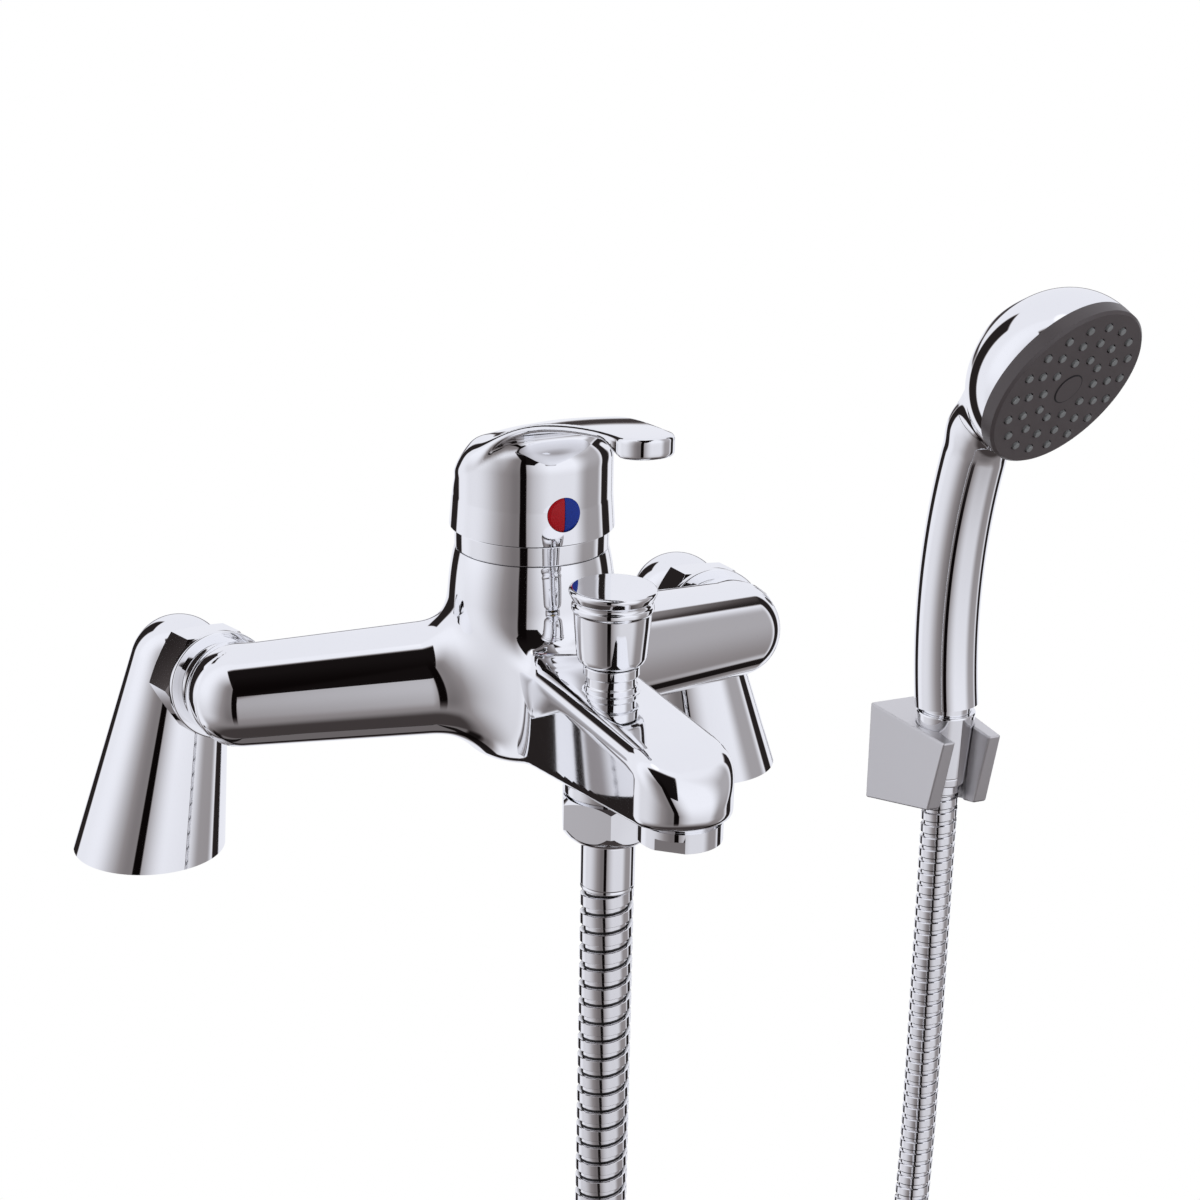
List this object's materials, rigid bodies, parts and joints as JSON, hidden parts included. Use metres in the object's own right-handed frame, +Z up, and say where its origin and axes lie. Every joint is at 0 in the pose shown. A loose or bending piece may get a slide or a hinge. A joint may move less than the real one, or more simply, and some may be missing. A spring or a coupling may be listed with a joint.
{
  "type": "bath shower mixer",
  "caption": "Deck-mounted single-lever bath shower mixer on two conical legs, with a pull-up diverter, ribbed hose, round hand shower and wall bracket.",
  "frame": {"origin": "on the deck, midway between the two inlet threads", "axes": "+X to the right along the two inlets, -Y to the front where the spout points, +Z up"},
  "size_m": [0.4165, 0.3321, 0.5826],
  "materials": {
    "chrome": "polished chrome plate on brass",
    "chrome_plastic": "chrome-plated plastic, polished",
    "rubber": "matt black",
    "acetal": "off-white acetal",
    "ceramic": "ground white ceramic",
    "steel": "plain stainless steel",
    "brass": "turned brass",
    "red": "gloss red",
    "blue": "gloss blue",
    "dark_plastic": "dark warm grey, satin gloss",
    "nozzle_rubber": "grey soft rubber",
    "hose_steel": "chromed interlocked strip"
  },
  "bodies": {
    "mixer": {"mixer_body": "chrome", "leg_left": "chrome", "leg_right": "chrome", "foot_seal_left": "rubber", "foot_seal_right": "rubber", "union_nut_left": "chrome", "union_nut_right": "chrome", "union_washer_left": "rubber", "union_washer_right": "rubber", "cartridge_barrel": "acetal", "fixed_disc": "ceramic", "cartridge_nut": "brass", "collar_ring": "chrome", "diverter_bonnet": "chrome", "diverter_o_ring": "rubber", "diverter_seat": "brass", "aerator_housing": "chrome", "aerator_insert": "acetal", "aerator_washer": "rubber", "hose_outlet": "chrome", "outlet_washer": "rubber", "hose_nut": "chrome", "hose_ferrule_lower": "chrome", "wall_bracket": "chrome_plastic", "hose_left_run": "hose_steel", "hose_coil": "hose_steel", "hose_right_run": "hose_steel", "hose_top_run": "hose_steel", "hose_tie": "rubber"},
    "carrier": {"cartridge_carrier": "acetal", "pivot_pin": "steel"},
    "lever": {"lever_stem": "brass", "lever_handle": "chrome", "grub_screw": "steel", "indicator_hot": "red", "indicator_cold": "blue"},
    "disc": {"moving_disc": "ceramic"},
    "diverter": {"diverter_knob": "chrome", "diverter_spindle": "brass", "diverter_valve": "rubber"},
    "hose_end": {"hose_ferrule_upper": "chrome"},
    "handset": {"conical_nut": "chrome", "handset_washer": "rubber", "handset_shell": "chrome_plastic", "handset_inlet": "chrome_plastic", "spray_face": "dark_plastic", "spray_nozzles": "nozzle_rubber"}
  },
  "joints": [
    {"name": "lever_swing", "type": "hinge", "parent": "mixer", "child": "carrier", "pos_m": [0, -0.0724, 0.1], "axis": [0, 0, 1], "range_deg": [-45, 45]},
    {"name": "lever_lift", "type": "hinge", "parent": "carrier", "child": "lever", "pos_m": [0, -0.0724, 0.1071], "axis": [-1, 0, 0], "range_deg": [0, 14]},
    {"name": "disc_slide", "type": "slide", "parent": "carrier", "child": "disc", "axis": [0, -1, 0], "range_m": [0, 0.0046]},
    {"name": "diverter_pull", "type": "slide", "parent": "mixer", "child": "diverter", "axis": [0, 0, 1], "range_m": [0, 0.005]},
    {"name": "handset_lift", "type": "slide", "parent": "mixer", "child": "hose_end", "axis": [0, 0, 1], "range_m": [0, 0.08], "deforming": ["hose_top_run"]},
    {"name": "handset_turn", "type": "hinge", "parent": "hose_end", "child": "handset", "pos_m": [0.2585, 0.124, -0.06], "axis": [0, 0, 1], "range_deg": [-60, 60]}
  ],
  "couplings": [
    {"joint": "disc_slide", "follows": "lever_lift", "m_per_rad": 0.018}
  ]
}
